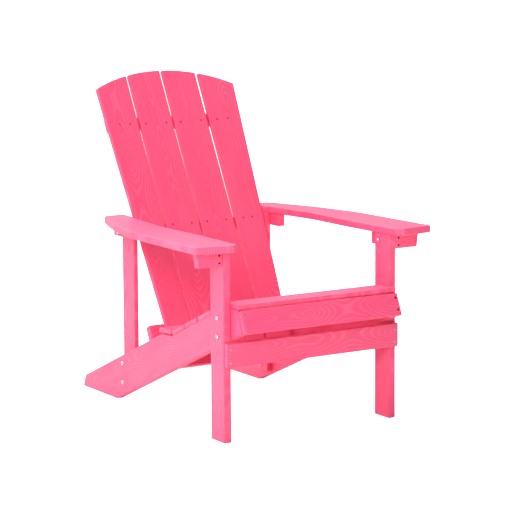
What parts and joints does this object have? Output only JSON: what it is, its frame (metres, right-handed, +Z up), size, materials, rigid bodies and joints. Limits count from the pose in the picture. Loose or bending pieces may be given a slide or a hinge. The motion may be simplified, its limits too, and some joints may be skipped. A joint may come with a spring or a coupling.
{
  "type": "adirondack chair",
  "caption": "Adirondack garden chair of pink plastic-lumber boards, with a reclined fan back rounded at the top, a sloping slatted seat, flat arms and side rails that run back to the ground.",
  "frame": {"origin": "centre of the chair's bounding box in plan, on the ground", "axes": "+Z up; +X to the right as seen by someone facing the chair's front; -Y the way a sitter faces"},
  "size_m": [0.7486, 0.9052, 0.9218],
  "materials": {
    "pink_plastic_lumber": "satin, embossed wood grain",
    "bolt_steel": "polished"
  },
  "bodies": {
    "root": {"front_leg_left": "pink_plastic_lumber", "side_rail_left": "pink_plastic_lumber", "rear_post_left": "pink_plastic_lumber", "front_leg_right": "pink_plastic_lumber", "side_rail_right": "pink_plastic_lumber", "rear_post_right": "pink_plastic_lumber", "front_apron": "pink_plastic_lumber", "seat_front_board": "pink_plastic_lumber", "seat_board_1": "pink_plastic_lumber", "seat_board_2": "pink_plastic_lumber", "seat_board_3": "pink_plastic_lumber", "seat_board_4": "pink_plastic_lumber", "seat_board_5": "pink_plastic_lumber", "seat_board_6": "pink_plastic_lumber", "back_slat_1": "pink_plastic_lumber", "back_slat_2": "pink_plastic_lumber", "back_slat_3": "pink_plastic_lumber", "back_slat_4": "pink_plastic_lumber", "back_upper_batten": "pink_plastic_lumber", "back_middle_batten": "pink_plastic_lumber", "back_lower_batten": "pink_plastic_lumber", "back_stretcher": "pink_plastic_lumber", "armrest_left": "pink_plastic_lumber", "arm_bracket_front_left": "pink_plastic_lumber", "arm_cleat_front_left": "pink_plastic_lumber", "arm_cleat_rear_left": "pink_plastic_lumber", "armrest_right": "pink_plastic_lumber", "arm_bracket_front_right": "pink_plastic_lumber", "arm_cleat_front_right": "pink_plastic_lumber", "arm_cleat_rear_right": "pink_plastic_lumber", "bolt_leg_left_upper": "bolt_steel", "cap_nut_leg_left_upper": "bolt_steel", "bolt_leg_left_lower": "bolt_steel", "cap_nut_leg_left_lower": "bolt_steel", "bolt_post_left_upper": "bolt_steel", "cap_nut_post_left_upper": "bolt_steel", "bolt_post_left_lower": "bolt_steel", "cap_nut_post_left_lower": "bolt_steel", "bolt_arm_front_left": "bolt_steel", "cap_nut_arm_front_left": "bolt_steel", "bolt_arm_rear_left": "bolt_steel", "cap_nut_arm_rear_left": "bolt_steel", "bolt_leg_right_upper": "bolt_steel", "cap_nut_leg_right_upper": "bolt_steel", "bolt_leg_right_lower": "bolt_steel", "cap_nut_leg_right_lower": "bolt_steel", "bolt_post_right_upper": "bolt_steel", "cap_nut_post_right_upper": "bolt_steel", "bolt_post_right_lower": "bolt_steel", "cap_nut_post_right_lower": "bolt_steel", "bolt_arm_front_right": "bolt_steel", "cap_nut_arm_front_right": "bolt_steel", "bolt_arm_rear_right": "bolt_steel", "cap_nut_arm_rear_right": "bolt_steel"}
  },
  "joints": []
}
